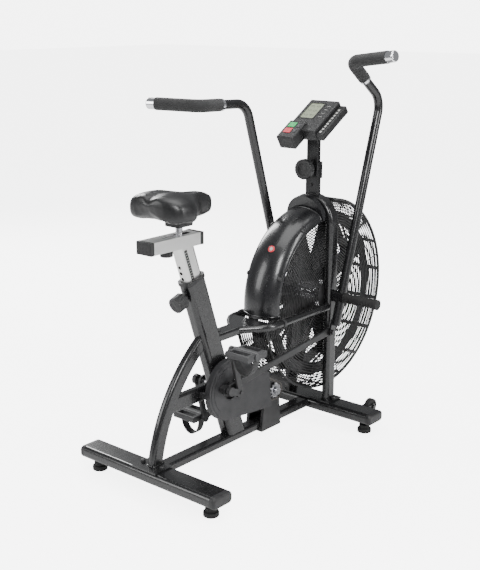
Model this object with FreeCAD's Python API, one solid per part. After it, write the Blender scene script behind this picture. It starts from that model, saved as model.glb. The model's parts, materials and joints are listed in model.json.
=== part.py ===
"""Air bike: a fan-braked exercise bike with pedals, swinging handles and a sliding saddle.

Millimetres. +X is the way the rider faces, +Y is the rider's left, +Z is up, and the floor is z = 0.
Each sub-part is written to parts/NODE.step, in place on the whole machine.
"""

import FreeCAD, Part
import math
import os
from FreeCAD import Matrix, Placement, Vector

os.makedirs("parts", exist_ok=True)

# ---------------------------------------------------------------- driving dimensions
fan_x = 263.25  # the fan axle and the hoop around the fan
fan_z = 488.0
crank_x = fan_x - 518.0
crank_z = 268.0
rear_foot_x = fan_x - 833.0
front_foot_x = fan_x + 2.0
foot_y = 250.0  # the levelling feet each side of the middle

rail_tall = 30.0  # flat-sided frame tube: 50 x 30 with 2.5 mm walls
rail_wide = 50.0
tube_corner = 12.0
tube_wall = 2.5

stabilizer_deep = 88.0
stabilizer_tall = 40.0
stabilizer_z = 64.0
stabilizer_long = 560.0
stabilizer_corner = 15.0
stabilizer_top = stabilizer_z + stabilizer_tall / 2
base_rail_z = 65.0
base_rail_top = base_rail_z + rail_tall / 2

seat_lean = 18.8  # degrees that the seat tube leans back
seat_foot_x = crank_x + 11.0  # where the seat tube's axis passes the crank's height
seat_tube_top = 412.0  # from the crank axle, along the tube
seat_tube_deep, seat_tube_wide = 82.0, 52.0
post_deep, post_wide = 70.0, 42.0
post_in, post_out = 260.0, 130.0  # post length inside the seat tube and out of it
pin_reach = 373.0  # the height pin, along the seat tube
hole_pitch = 21.0

hoop_y = 86.0  # middle of each hoop leg
hoop_bend_z = 754.0
hoop_top = 852.0
axle_radius = 8.0
guard_y = 68.0  # plane of the wire rings each side of the fan
guard_radius = 348.0
ring_pitch = 18.6
ring_wire = 1.2
spoke_wire = 1.6
fender_inner = 282.0  # radius where the cover's side walls end
fender_height = 45.0
collar_height, collar_half = 84.0, 81.0  # the raised band at the cover's front end
collar_end = 99.4
fender_start, fender_end = 95.6, 185.5  # degrees from +X towards +Z
fender_half = 76.5
fender_skin = 3.0
fan_radius = 306.0
fan_half = 42.0
fan_blades = 8

crank_long = 170.0
crank_angle = 107.3  # right crank at rest, degrees from +X towards +Z
throw = 49.0  # crank pin that drives each push rod
throw_angle = 161.0
web_y = 62.0
rod_y = 78.0  # middle of the push rod's lower eye
rod_top_y = 111.0
arm_y = 96.5  # middle of the crank arm at its hub, and at its pedal end
arm_end_y = 107.0
arm_thick = 14.0
lever_y = 133.5
lever_angle = 17.3  # right handle leans forward by this much at rest, the left one back
lever_radius = 16.0
grip_radius = 21.5
link_drop = 130.0  # from the lever pivot down to the push rod joint
jack_x = fan_x - 262.0
jack_z = 186.0
chain_pitch = 12.7
ring_teeth, jack_small_teeth, jack_large_teeth, fan_teeth = 44, 14, 21, 14
primary_y = -46.0
secondary_y = 54.0

X, Y, Z = Vector(1, 0, 0), Vector(0, 1, 0), Vector(0, 0, 1)
lean = math.radians(seat_lean)
seat_axis = Vector(-math.sin(lean), 0, math.cos(lean))
seat_rear = Vector(-math.cos(lean), 0, -math.sin(lean))
crank = Vector(crank_x, 0, crank_z)
fan = Vector(fan_x, 0, fan_z)
jack = Vector(jack_x, 0, jack_z)


# ---------------------------------------------------------------- helpers
def save(name, *shapes):
    """Writes one node's solids to its STEP file."""
    solids = [solid for shape in shapes for solid in shape.Solids]
    for solid in solids:
        if not solid.isValid() or solid.Volume <= 0:
            print("bad solid in", name)
    shape = solids[0] if len(solids) == 1 else Part.makeCompound(solids)
    shape.exportStep(f"parts/{name}.step")


def at(x, y, z):
    return Vector(x, y, z)


def polar(centre, radius, degrees, y=0.0):
    """A point in a plane across Y, at an angle from +X towards +Z."""
    turn = math.radians(degrees)
    return Vector(centre.x + radius * math.cos(turn), y, centre.z + radius * math.sin(turn))


def rounded_face(deep, wide, corner):
    """A rounded rectangle about the origin in the XY plane."""
    a, b, r = deep / 2, wide / 2, min(corner, deep / 2 - 0.01, wide / 2 - 0.01)
    box = Part.makePlane(deep, wide, Vector(-a, -b, 0))
    solid = box.extrude(Z)
    edges = [e for e in solid.Edges if abs(e.Vertexes[0].Z - e.Vertexes[-1].Z) > 0.5]
    rounded = solid.makeFillet(r, edges)
    bottom = min(rounded.Faces, key=lambda f: f.CenterOfMass.z)
    return Part.Face(bottom.OuterWire)


def placed(shape, origin, side, ahead):
    """Moves a shape so that its X runs along side and its Z along ahead."""
    ahead = Vector(ahead).normalize()
    side = Vector(side)
    side = (side - ahead * side.dot(ahead)).normalize()
    up = ahead.cross(side)
    turn = Matrix(
        side.x, up.x, ahead.x, origin.x,
        side.y, up.y, ahead.y, origin.y,
        side.z, up.z, ahead.z, origin.z,
        0, 0, 0, 1,
    )
    moved = shape.copy()
    moved.Placement = Placement(turn).multiply(shape.Placement)
    return moved


def bar(start, end, side, deep, wide, corner, wall=0.0):
    """A straight rounded bar or tube; deep is measured along side."""
    run = end - start
    face = placed(rounded_face(deep, wide, corner), start, side, run)
    shape = face.extrude(run)
    if wall:
        inner = rounded_face(deep - 2 * wall, wide - 2 * wall, corner - wall)
        shape = shape.cut(placed(inner, start, side, run).extrude(run))
    return shape


def bend(start, side, ahead, centre, axis, degrees, deep, wide, corner, wall=0.0):
    """A rounded bar or tube swept round an axis."""
    face = placed(rounded_face(deep, wide, corner), start, side, ahead)
    shape = face.revolve(centre, axis, degrees)
    if wall:
        inner = placed(rounded_face(deep - 2 * wall, wide - 2 * wall, corner - wall), start, side, ahead)
        shape = shape.cut(inner.revolve(centre, axis, degrees))
    return shape


def rod(start, end, radius, bore=0.0):
    """A round bar or tube between two points."""
    run = end - start
    shape = Part.makeCylinder(radius, run.Length, start, run)
    if bore:
        shape = shape.cut(Part.makeCylinder(bore, run.Length, start, run))
    return shape


def across(centre, radius, y0, y1, bore=0.0):
    """A disc or tube along Y, centred on a point, between two Y values."""
    return rod(at(centre.x, y0, centre.z), at(centre.x, y1, centre.z), radius, bore)


def block(x0, x1, y0, y1, z0, z1, fillet=0.0):
    low = Vector(min(x0, x1), min(y0, y1), min(z0, z1))
    shape = Part.makeBox(abs(x1 - x0), abs(y1 - y0), abs(z1 - z0), low)
    if fillet:
        shape = shape.makeFillet(fillet, shape.Edges)
    return shape


def fused(*shapes):
    shape = shapes[0].multiFuse(list(shapes[1:])) if len(shapes) > 1 else shapes[0]
    return shape.removeSplitter()


def trimmed(shape, *tools):
    """Cuts the tools away and keeps the largest piece that is left."""
    for tool in tools:
        shape = shape.cut(tool)
    return max(shape.Solids, key=lambda s: s.Volume)


def prism(points, y0, y1):
    """A flat plate whose outline lies in a plane across Y."""
    corners = [at(x, y0, z) for x, z in points]
    return Part.Face(Part.makePolygon(corners + corners[:1])).extrude(Vector(0, y1 - y0, 0))


def loop_outline(a, ra, b, rb, y):
    """The outline of a belt round two circles in a plane across Y."""
    run = b - a
    reach = math.hypot(run.x, run.z)
    heading = math.degrees(math.atan2(run.z, run.x))
    open_angle = math.degrees(math.acos((ra - rb) / reach))
    a_top, a_low = polar(a, ra, heading + open_angle, y), polar(a, ra, heading - open_angle, y)
    b_top, b_low = polar(b, rb, heading + open_angle, y), polar(b, rb, heading - open_angle, y)
    edges = [
        Part.LineSegment(a_top, b_top).toShape(),
        Part.Arc(b_top, polar(b, rb, heading, y), b_low).toShape(),
        Part.LineSegment(b_low, a_low).toShape(),
        Part.Arc(a_low, polar(a, ra, heading + 180, y), a_top).toShape(),
    ]
    return Part.Face(Part.Wire(edges))


def loop_plate(a, ra, b, rb, y0, y1):
    return loop_outline(a, ra, b, rb, y0).extrude(Vector(0, y1 - y0, 0))


def pitch_radius(teeth):
    return chain_pitch / 2 / math.sin(math.pi / teeth)


def sprocket(centre, teeth, y, thick=3.0, phase=0.0):
    """A toothed chain wheel in the plane y: a root disc with one rounded tooth per pitch."""
    radius = pitch_radius(teeth)
    half = chain_pitch * 0.21
    corners = []
    for tooth in range(teeth):
        middle = phase + 360.0 * tooth / teeth
        root_turn = math.degrees(half * 1.55 / radius)
        tip_turn = math.degrees(half * 0.6 / radius)
        corners.append(polar(centre, radius - 4.2, middle - root_turn, y - thick / 2))
        corners.append(polar(centre, radius + 3.4, middle - tip_turn, y - thick / 2))
        corners.append(polar(centre, radius + 3.4, middle + tip_turn, y - thick / 2))
        corners.append(polar(centre, radius - 4.2, middle + root_turn, y - thick / 2))
    return Part.Face(Part.makePolygon(corners + corners[:1])).extrude(Vector(0, thick, 0))


def frame_post(distance, back=0.0):
    """A point on the seat tube's axis, measured from the crank's height."""
    foot = at(seat_foot_x, 0, crank_z)
    return foot + seat_axis * distance + seat_rear * back


# ---------------------------------------------------------------- the frame
def stabilizer_solid(x):
    half = stabilizer_long / 2
    return bar(at(x, -half, stabilizer_z), at(x, half, stabilizer_z), X,
               stabilizer_deep, stabilizer_tall, stabilizer_corner)


def stabilizers():
    half = stabilizer_long / 2
    for name, x in (("rear_stabilizer", rear_foot_x), ("front_stabilizer", front_foot_x)):
        tube = bar(at(x, -half, stabilizer_z), at(x, half, stabilizer_z), X,
                   stabilizer_deep, stabilizer_tall, stabilizer_corner, tube_wall)
        for side in (-1, 1):
            tube = tube.cut(rod(at(x, side * foot_y, 30), at(x, side * foot_y, 60), 6.5))
        save(name, tube)


def stabilizer_caps():
    """Moulded end caps with softly rounded corners, plugged into the tubes."""
    caps = []
    half = stabilizer_long / 2
    for x in (rear_foot_x, front_foot_x):
        for side in (-1, 1):
            cap = bar(at(x, side * half, stabilizer_z), at(x, side * (half + 20), stabilizer_z), X,
                      stabilizer_deep, stabilizer_tall, stabilizer_corner)
            end = max(cap.Faces, key=lambda f: side * f.CenterOfMass.y)
            cap = cap.makeFillet(9.0, end.Edges)
            plug = bar(at(x, side * (half - 16), stabilizer_z), at(x, side * half, stabilizer_z), X,
                       stabilizer_deep - 2 * tube_wall, stabilizer_tall - 2 * tube_wall,
                       stabilizer_corner - tube_wall)
            caps.append(fused(cap, plug))
    save("stabilizer_end_caps", *caps)


def seat_tube_outer(wall=0.0):
    bottom = (base_rail_top - crank_z) / math.cos(lean)
    return bar(frame_post(bottom - 40), frame_post(seat_tube_top), seat_rear,
               seat_tube_deep, seat_tube_wide, 16.0, wall)


def above(z, shape):
    """Cuts away everything below a level."""
    return shape.cut(Part.makeBox(3000, 3000, z + 1000, Vector(-1500, -1500, -1000)))


def arch_tube(wall):
    """The tube that curves up from the rear stabilizer to the seat tube."""
    radius, start_turn, sweep = 571.0, 10.4, 50.0
    foot = at(rear_foot_x + 12, 0, stabilizer_top + 5)
    ahead = Vector(math.sin(math.radians(start_turn)), 0, math.cos(math.radians(start_turn)))
    inward = Vector(ahead.z, 0, -ahead.x)
    return bend(foot, X, ahead, foot + inward * radius, Y, sweep,
                rail_wide, rail_tall, tube_corner, wall)


def frame_tubes():
    seat_solid = above(base_rail_top, seat_tube_outer())
    shell_solid = across(crank, 23, -34, 34)
    seat_tube = above(base_rail_top, seat_tube_outer(tube_wall))
    pin_hole = rod(frame_post(pin_reach, back=10), frame_post(pin_reach, back=70), 7.2)
    save("seat_tube", trimmed(seat_tube, shell_solid, pin_hole))

    save("rear_arch_tube", trimmed(above(stabilizer_top + 5, arch_tube(tube_wall)), seat_solid))
    arch_solid = arch_tube(0.0)

    base = bar(at(rear_foot_x, 0, base_rail_z), at(front_foot_x, 0, base_rail_z), Y,
               rail_wide, rail_tall, 9.0, tube_wall)
    save("base_rail", trimmed(base, stabilizer_solid(rear_foot_x), stabilizer_solid(front_foot_x)))

    middle = bar(at(rear_foot_x + 60, 0, crank_z), at(crank_x, 0, crank_z), Z,
                 rail_wide, rail_tall, 9.0, tube_wall)
    save("mid_rail", trimmed(middle, arch_solid, seat_solid, shell_solid))

    bearings = [across(jack, 14, side * 30, side * 38, 8.05) for side in (-1, 1)]
    bearings += [across(crank, 17, side * 20, side * 34, 9.95) for side in (-1, 1)]
    save("bottom_bracket", across(crank, 23, -34, 34, 17), *bearings)

    back, front = at(crank_x - 60, 0, 443), at(crank_x + 98, 0, 443)
    outer = [bar(back, front, Y, 50, 28, 8)] + [arm_tube(side, 13) for side in (-1, 1)]
    inner = [bar(back, front - X * 3, Y, 45, 23, 5.5)] + [arm_tube(side, 10.8) for side in (-1, 1)]
    half_outline = [(-30, 23), (84, 23), (158, 92), (178, 92)]
    outline = [at(crank_x + x, y, 456.5) for x, y in half_outline]
    outline += [at(crank_x + x, -y, 456.5) for x, y in reversed(half_outline)]
    plate = Part.Face(Part.makePolygon(outline + outline[:1])).extrude(Z * 3)
    arms = fused(*outer, plate).cut(fused(*inner))
    save("frame_arms", trimmed(arms, seat_solid))


def arm_tube(side, thick):
    """One fork arm: out from the neck, round a bend, then straight to the hoop leg."""
    inner = at(crank_x + 84, side * 10, 444)
    corner = at(crank_x + 166, side * 92, 449)
    front = at(fan_x - 25, side * 92, 450)
    first, second = (corner - inner).normalize(), (front - corner).normalize()
    cut = 34.0
    bend_in, bend_out = corner - first * cut, corner + second * cut
    axis = first.cross(second).normalize()
    half_turn = first.getAngle(second) / 2
    radius = cut / math.tan(half_turn)
    centre = bend_in + axis.cross(first) * radius
    profile = Part.Face(Part.Wire(Part.makeCircle(thick, bend_in, first)))
    curve = profile.revolve(centre, axis, math.degrees(2 * half_turn))
    return fused(rod(inner, bend_in, thick), curve, rod(bend_out, front, thick))


def hoop():
    legs = []
    bottom = stabilizer_top + 5
    for side in (-1, 1):
        leg = bar(at(fan_x, side * hoop_y, bottom), at(fan_x, side * hoop_y, hoop_bend_z), X,
                  rail_wide, rail_tall, tube_corner, tube_wall)
        leg = leg.cut(across(fan, axle_radius, -140, 140))
        legs.append(leg)
    save("hoop_legs", *legs)

    radius = hoop_top - rail_tall / 2 - hoop_bend_z
    middle = hoop_y - radius
    pieces = []
    for wall in (0.0, tube_wall):
        halves = []
        for side in (-1, 1):
            start = at(fan_x, side * hoop_y, hoop_bend_z)
            centre = at(fan_x, side * middle, hoop_bend_z)
            w = 2 * wall
            face = placed(rounded_face(rail_wide - w, rail_tall - w, tube_corner - wall), start, X, Z)
            halves.append(face.revolve(centre, Vector(side, 0, 0), 90))
        top_z = hoop_bend_z + radius
        halves.append(bar(at(fan_x, -middle, top_z), at(fan_x, middle, top_z), X,
                          rail_wide - 2 * wall, rail_tall - 2 * wall, tube_corner - wall))
        pieces.append(fused(*halves))
    save("hoop_arch", pieces[0].cut(pieces[1]))
    return pieces[0]


def mast(arch_solid):
    """The flat upright on the hoop that carries the console post, with its clamp collar."""
    tube = bar(at(fan_x, 0, hoop_top - 12), at(fan_x, 0, 908), Y, 52, 26, 5, 1.6)
    tube = trimmed(tube, arch_solid)
    collar = bar(at(fan_x, 0, 908), at(fan_x, 0, 966), Y, 60, 34, 6)
    collar = collar.cut(bar(at(fan_x, 0, 900), at(fan_x, 0, 980), Y, 48.8, 22.8, 4))
    collar = collar.cut(rod(at(fan_x - 5, 0, 944), at(fan_x - 40, 0, 944), 6.1))
    bolt = rod(at(fan_x - 13, 0, 884), at(fan_x - 18, 0, 884), 6)
    save("mast", tube, collar, bolt)


# ---------------------------------------------------------------- fan, guards and covers
def guard_side(side):
    """Wire rings on radial spokes, with a plate in the middle."""
    y = side * guard_y
    rings = []
    count = int((guard_radius - 10 - 50) / ring_pitch) + 1
    top_slot = block(fan_x - 25, fan_x + 25, y - 10, y + 10, fan_z + 200, fan_z + 400)
    behind = wedge(fender_start - 1.2, fender_end, 304, 420, y - 10, y + 10)
    for n in range(count):
        radius = 50 + n * ring_pitch
        ring = Part.makeTorus(radius, ring_wire, at(fan_x, y, fan_z), Y)
        if radius > 276:
            ring = ring.cut(top_slot)
        if radius > 303:
            ring = ring.cut(behind)
        rings.append(ring)
    spokes = []
    inside = side * (guard_y - ring_wire - spoke_wire)
    for n in range(16):
        angle = 360.0 / 16 * (n + 0.5)
        covered = fender_start - 1 < angle < fender_end
        reach = fender_inner + 15 if covered else guard_radius - 6.5
        spokes.append(rod(polar(fan, 44, angle, inside), polar(fan, reach, angle, inside), spoke_wire))
    plate = across(fan, 46, y - 1.5, y + 1.5, axle_radius)
    plate = plate.cut(Part.makeCompound(spokes))
    save("guard_right" if side < 0 else "guard_left", plate, *rings, *spokes)


def wedge(start, end, r0, r1, y0, y1):
    """A ring segment round the fan axle between two angles from +X towards +Z."""
    corners = [(r0, y0), (r1, y0), (r1, y1), (r0, y1)]
    points = [polar(fan, r, start, y) for r, y in corners]
    face = Part.Face(Part.makePolygon(points + points[:1]))
    return face.revolve(fan, -Y, end - start)


def guard_rim():
    """Wire hoops round the outside of the fan, joined by flat cross bars."""
    start, end = fender_end + 1, 445.7
    hoops = []
    for y in (-guard_y, 0, guard_y):
        circle = Part.Face(Part.Wire(Part.makeCircle(2.5, polar(fan, guard_radius, start, y),
                                                     polar(fan, 1, start + 90) - fan)))
        hoops.append(circle.revolve(fan + Vector(0, y, 0), -Y, end - start))
    bars = []
    chain_way = math.degrees(math.atan2(jack_z - fan_z, jack_x - fan_x)) + 360
    for n in range(14):
        angle = start + 2.5 + n * (end - start - 5) / 13
        if abs(angle - chain_way) < 10:
            continue
        out = (polar(fan, 1, angle) - fan)
        middle = polar(fan, guard_radius - 4, angle)
        bars.append(bar(middle - Y * 66, middle + Y * 66, out, 3, 14, 1.4))
    save("guard_rim", *hoops, *bars)


def half_oval(height, half, start, end):
    """A half-oval section, flat side inwards, swept round the fan axle between two angles."""
    oval = Part.Ellipse(Vector(0, 0, 0), max(height, half), min(height, half))
    face = Part.Face(Part.Wire(Part.Edge(oval, 0, math.pi * 2)))
    if half > height:
        face.rotate(Vector(0, 0, 0), Z, 90)
    face = face.common(Part.makePlane(400, 400, Vector(0, -200, 0)))
    radial = polar(fan, 1, start) - fan
    section = placed(face, polar(fan, fender_inner, start), radial, radial.cross(Y)).Faces[0]
    return section.revolve(fan, -Y, end - start)


def fender_cover():
    """The moulded cover over the rear of the fan, with a raised band where it meets the hoop."""
    skin = fender_skin
    outer = half_oval(fender_height, fender_half, fender_start, fender_end)
    inner = half_oval(fender_height - skin, fender_half - skin, fender_start - 0.5, fender_end + 0.5)
    band = half_oval(collar_height, collar_half, fender_start, collar_end)
    band = band.cut(half_oval(collar_height - skin, collar_half - skin, fender_start - 0.5, collar_end - 0.6))
    cover = fused(outer, band).cut(inner)
    save("fender_cover", max(cover.Solids, key=lambda s: s.Volume))


def fan_wheel():
    hub = across(fan, 35, -40, 40, axle_radius + 0.05)
    flanges = [across(fan, 48, y - 2, y + 2, 35) for y in (-34, 34)]
    carrier = across(fan, 20, 40, secondary_y - 1.5, axle_radius + 0.05)
    wheel = sprocket(fan, fan_teeth, secondary_y).cut(across(fan, axle_radius + 0.05, 40, 60))
    save("fan_hub", fused(hub, *flanges, carrier, wheel))

    blades = []
    for n in range(fan_blades):
        angle = 360.0 / fan_blades * (n + 0.5)
        out = polar(fan, 1, angle) - fan
        blades.append(bar(polar(fan, 48.5, angle), polar(fan, fan_radius - 6, angle), Y,
                          2 * fan_half, 3, 1.2))
        for y in (-30, 30):
            blades.append(bar(polar(fan, 34.8, angle, y), polar(fan, 48.5, angle, y), Y, 8, 3, 1.2)
                          .cut(Part.makeCompound([across(fan, 35, -40, 40), *flanges])))
    rings = [across(fan, fan_radius, s * fan_half, s * (fan_half + 2), 262) for s in (-1, 1)]
    save("fan_blades", fused(*rings, *[b for b in blades if b.Volume > 1]))


def fan_axle():
    save("fan_axle", across(fan, axle_radius, -284, 284))
    pegs = []
    for side in (-1, 1):
        peg = across(fan, 15.5, side * 150, side * 290)
        ribs = [across(fan, 17, side * (156 + 12 * n), side * (163 + 12 * n)) for n in range(10)]
        end = across(fan, 18.5, side * 280, side * 290)
        flange = across(fan, 19, side * 150, side * 154)
        pegs.append(fused(peg, *ribs, end, flange).cut(across(fan, axle_radius, -284, 284)))
    save("foot_pegs", *pegs)


# ---------------------------------------------------------------- drive
def crankset():
    spindle = across(crank, 9.9, -web_y, web_y)
    save("crank_spindle", spindle)

    ring = sprocket(crank, ring_teeth, primary_y)
    for n in range(5):
        ring = ring.cut(across(polar(crank, 55, 36 + 72 * n), 19, primary_y - 5, primary_y + 5))
    hub = across(crank, 22, primary_y - 5, primary_y + 5)
    save("chainring", fused(ring, hub).cut(across(crank, 9.9, -60, 60)))

    for side, name in ((-1, "crank_arm_right"), (1, "crank_arm_left")):
        flip = 0.0 if side < 0 else 180.0
        save(name, *crank_arm(side, crank_angle + flip, throw_angle + flip))


def crank_arm(side, angle, pin_angle):
    """The inner web on the spindle, the pin for the push rod, and the outer arm with its pedal spindle."""
    pin = polar(crank, throw, pin_angle)
    web = fused(
        across(crank, 22, side * web_y, side * (web_y + 7)),
        across(pin, 15, side * web_y, side * (web_y + 7)),
        bar(crank + Y * side * (web_y + 3.5), pin + Y * side * (web_y + 3.5), Y, 7, 28, 1),
    )
    journal = across(pin, 8, side * (web_y + 7), side * (arm_y - arm_thick / 2))
    hub_in, hub_out = side * (arm_y - arm_thick / 2), side * (arm_y + arm_thick / 2)
    tip = polar(crank, crank_long, angle, side * arm_end_y)
    hub = at(crank_x, side * arm_y, crank_z)
    outer = fused(
        across(crank, 18, hub_in, hub_out),
        across(pin, 15, hub_in, hub_out),
        bar(hub, polar(crank, throw, pin_angle, side * arm_y), Y, arm_thick, 24, 2),
        bar(hub, tip, Y, arm_thick, 22, 4),
        across(tip, 14, side * (arm_end_y - 7), side * (arm_end_y + 7)),
    )
    bolt = across(crank, 7, hub_out, side * (arm_y + arm_thick / 2 + 4)).cut(outer)
    spindle = across(tip, 7, side * (arm_end_y + 7), side * 214)
    return web, journal, outer, bolt, spindle


def pedals():
    for side, name in ((-1, "pedal_right"), (1, "pedal_left")):
        flip = 0.0 if side < 0 else 180.0
        middle = polar(crank, crank_long, crank_angle + flip)
        x, z = middle.x, middle.z
        plate = bar(at(x, side * 119, z), at(x, side * 213, z), X, 98, 22, 7)
        for offset in (-29, 29):
            plate = plate.cut(block(x + offset - 12, x + offset + 12, side * 130, side * 200, z - 20, z + 20))
        barrel = across(middle, 15, side * 119, side * 213)
        cap = across(middle, 15, side * 213, side * 217)
        pedal = fused(plate, barrel, cap).cut(across(middle, 7.05, side * 110, side * 215))
        strap = pedal_strap(x, side, z)
        save(name, pedal, strap.cut(pedal))


def pedal_strap(x, side, z):
    """The foot strap, hanging in a loop below the empty pedal."""
    loops = []
    for wide, tall in ((43.0, 62.0), (40.0, 59.0)):
        oval = Part.Ellipse(Vector(0, 0, 0), tall, wide)
        face = Part.Face(Part.Wire(Part.Edge(oval, 0, math.pi * 2)))
        loops.append(placed(face, at(x - 14, side * 166, z - 10), Z, X).extrude(Vector(28, 0, 0)))
    ring = loops[0].cut(loops[1])
    return ring.cut(block(x - 30, x + 30, side * 100, side * 230, z - 11, z + 100))


def push_rods():
    for side, name in ((-1, "push_rod_right"), (1, "push_rod_left")):
        flip = 0.0 if side < 0 else 180.0
        low = polar(crank, throw, throw_angle + flip)
        lever = lever_angle if side < 0 else -lever_angle
        high = polar(fan, link_drop, -90 - lever)
        low_eye = across(low, 17, side * (rod_y - 8), side * (rod_y + 8))
        high_eye = across(high, 14, side * (rod_top_y - 6), side * (rod_top_y + 6))
        start, end = low + Y * side * rod_y, high + Y * side * rod_top_y
        body = bar(start, end, Y, 10, 25, 4)
        shape = fused(body, low_eye, high_eye).cut(across(low, 8.05, -200, 200))
        save(name, shape)


def jackshaft():
    shaft = across(jack, 8, -58, 64)
    small = sprocket(jack, jack_small_teeth, primary_y).cut(across(jack, 8, -60, 60))
    large = sprocket(jack, jack_large_teeth, secondary_y).cut(across(jack, 8, -60, 60))
    for n in range(4):
        large = large.cut(across(polar(jack, 34, 45 + 90 * n), 11, 50, 58))
    hubs = [across(jack, 14, -44.5, -40, 8), across(jack, 14, 48, 52.5, 8)]
    nut = across(jack, 13, -58, -52, 8)
    save("jackshaft", fused(shaft, small, large, *hubs, nut))


def drive_bracket():
    """The folded steel bracket under the base rail that carries the intermediate shaft."""
    outline = [(jack_x - 67, 46), (jack_x + 40, 46), (jack_x + 28, jack_z), (jack_x + 14, jack_z + 26),
               (jack_x - 20, jack_z + 30), (jack_x - 46, jack_z + 17)]
    plates = []
    for side in (-1, 1):
        plate = prism(outline, side * 33, side * 37)
        plate = plate.cut(across(jack, 14, -60, 60))
        plate = plate.cut(across(at(jack_x - 36, 0, jack_z - 40), 4, -60, 60))
        plates.append(plate)
    floor = block(jack_x - 67, jack_x + 40, -37, 37, 46, 50)
    rail_grip = [block(jack_x - 67, jack_x + 40, side * 25, side * 33, 50, 62) for side in (-1, 1)]
    edge = [(jack_x - 67, 46), (jack_x - 63, 46), (jack_x - 42, jack_z + 17), (jack_x - 46, jack_z + 17)]
    flanges = [above(62, prism(edge, side * 26, side * 33)) for side in (-1, 1)]
    save("drive_bracket", fused(*plates, floor, *rail_grip, *flanges))


def chains():
    """Each chain as a thin link band round its two chain wheels, outside the teeth."""
    loops = []
    for a, ta, b, tb, y in ((crank, ring_teeth, jack, jack_small_teeth, primary_y),
                            (jack, jack_large_teeth, fan, fan_teeth, secondary_y)):
        ra, rb = pitch_radius(ta), pitch_radius(tb)
        for plate_y in (y - 3.9, y + 2.4):
            outer = loop_plate(a, ra + 4.6, b, rb + 4.6, plate_y, plate_y + 1.5)
            inner = loop_plate(a, ra - 3.6, b, rb - 3.6, plate_y - 1, plate_y + 3)
            loops.append(outer.cut(inner))
    save("chains", *loops)


def chain_guard():
    """The drive-side cover: a stepped disc round the crank, narrowing towards the intermediate shaft."""
    outer_y, inner_y = -57.0, -37.5
    shell = loop_plate(crank, 106, jack, 48, inner_y, outer_y)
    hollow = loop_plate(crank, 103, jack, 45, inner_y + 5, outer_y + 2.5)
    steps = [across(crank, 96, outer_y, outer_y - 1.2), across(crank, 82, outer_y - 1.2, outer_y - 2.4)]
    cover = fused(shell.cut(hollow), *steps)
    mouth = prism([(jack_x - 52, jack_z + 90), (jack_x + 80, jack_z + 20), (jack_x + 80, jack_z - 90),
                   (jack_x - 30, jack_z - 90)], -80, -20)
    cover = cover.cut(mouth).cut(across(crank, 34, -80, -20))
    posts = [across(frame_post(reach), 4.5, -seat_tube_wide / 2, inner_y - 3) for reach in (-92, 101)]
    save("chain_guard", max(fused(cover, *posts).Solids, key=lambda s: s.Volume))


def fan_chain_guard():
    """The far-side cover over the second chain, up to the fan guard."""
    shell = loop_plate(jack, 56, fan, 40, 45, 65)
    hollow = loop_plate(jack, 53.5, fan, 37.5, 40, 62.5)
    inside = across(fan, guard_radius + 6, 30, 80)
    cover = shell.cut(hollow).cut(inside).cut(across(jack, 9, 30, 80))
    posts = [across(polar(jack, 54.5, turn), 4, 37, 47) for turn in (-88, -112)]
    save("fan_chain_guard", max(fused(cover, *posts).Solids, key=lambda s: s.Volume))


# ---------------------------------------------------------------- handles
def handles():
    for side, name in ((-1, "right"), (1, "left")):
        tilt = lever_angle if side < 0 else -lever_angle
        lever, grip = lever_pieces(side)
        for shapes, node in ((lever, "handle_" + name), (grip, "handle_grip_" + name)):
            turned = []
            for piece in shapes:
                piece = piece.copy()
                piece.rotate(fan, Y, tilt)
                turned.append(piece)
            save(node, *turned)


def lever_pieces(side):
    """One handle, drawn upright before it is turned to its resting lean."""
    y = side * lever_y
    low = at(fan_x, y, fan_z - 104)
    knee = at(fan_x, y, fan_z + 721)
    back = math.radians(71)
    heading = Vector(-math.sin(back), 0, math.cos(back))
    elbow = knee + heading * 236
    splay = math.radians(12)
    outward = (Vector(0, side, 0) * math.cos(splay) + heading * math.sin(splay)).normalize()
    tip = elbow + outward * 166
    ring_at = knee + heading * 128

    route = rounded_path([low, knee, elbow, tip], [70, 38])
    tube = swept(route, low, Z, lever_radius).cut(swept(route, low, Z, lever_radius - 2.5))
    boss = across(fan, 21, side * 104, side * 149)
    tab = fused(
        bar(at(fan_x, side * 123, fan_z - 84), at(fan_x, side * 123, fan_z - link_drop), Y, 8, 28, 2),
        across(fan - Z * link_drop, 14, side * 119, side * 127),
    )
    bolt = across(fan - Z * link_drop, 9, side * 127, side * 134)
    lever = fused(tube, boss, tab, bolt).cut(across(fan, axle_radius + 0.05, -200, 200))

    start = ring_at + heading * 10
    grip_route = rounded_path([start, elbow, tip], [38])
    sleeve = swept(grip_route, start, heading, grip_radius).cut(swept(grip_route, start, heading, lever_radius))
    collar = rod(ring_at - heading * 2, ring_at + heading * 9.8, grip_radius - 1, lever_radius)
    cap = rod(tip, tip + outward * 33, grip_radius - 2)
    cap = cap.makeFillet(5.0, [max(cap.Edges, key=lambda e: side * e.CenterOfMass.y)])
    return [lever], [sleeve, collar, cap]


def rounded_path(points, radii):
    """Straight runs joined by tangent arcs, one radius for each inner point."""
    edges, start = [], points[0]
    for before, corner, after, radius in zip(points, points[1:], points[2:], radii):
        first, second = (corner - before).normalize(), (after - corner).normalize()
        half_turn = first.getAngle(second) / 2
        cut = radius * math.tan(half_turn)
        arc_in, arc_out = corner - first * cut, corner + second * cut
        inward = (second - first).normalize()
        centre = corner + inward * (radius / math.cos(half_turn))
        edges.append(Part.LineSegment(start, arc_in).toShape())
        edges.append(Part.Arc(arc_in, centre - inward * radius, arc_out).toShape())
        start = arc_out
    edges.append(Part.LineSegment(start, points[-1]).toShape())
    return Part.Wire(edges)


def swept(route, start, heading, radius):
    profile = Part.Wire(Part.makeCircle(radius, start, heading))
    return route.makePipeShell([profile], True, False)


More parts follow.
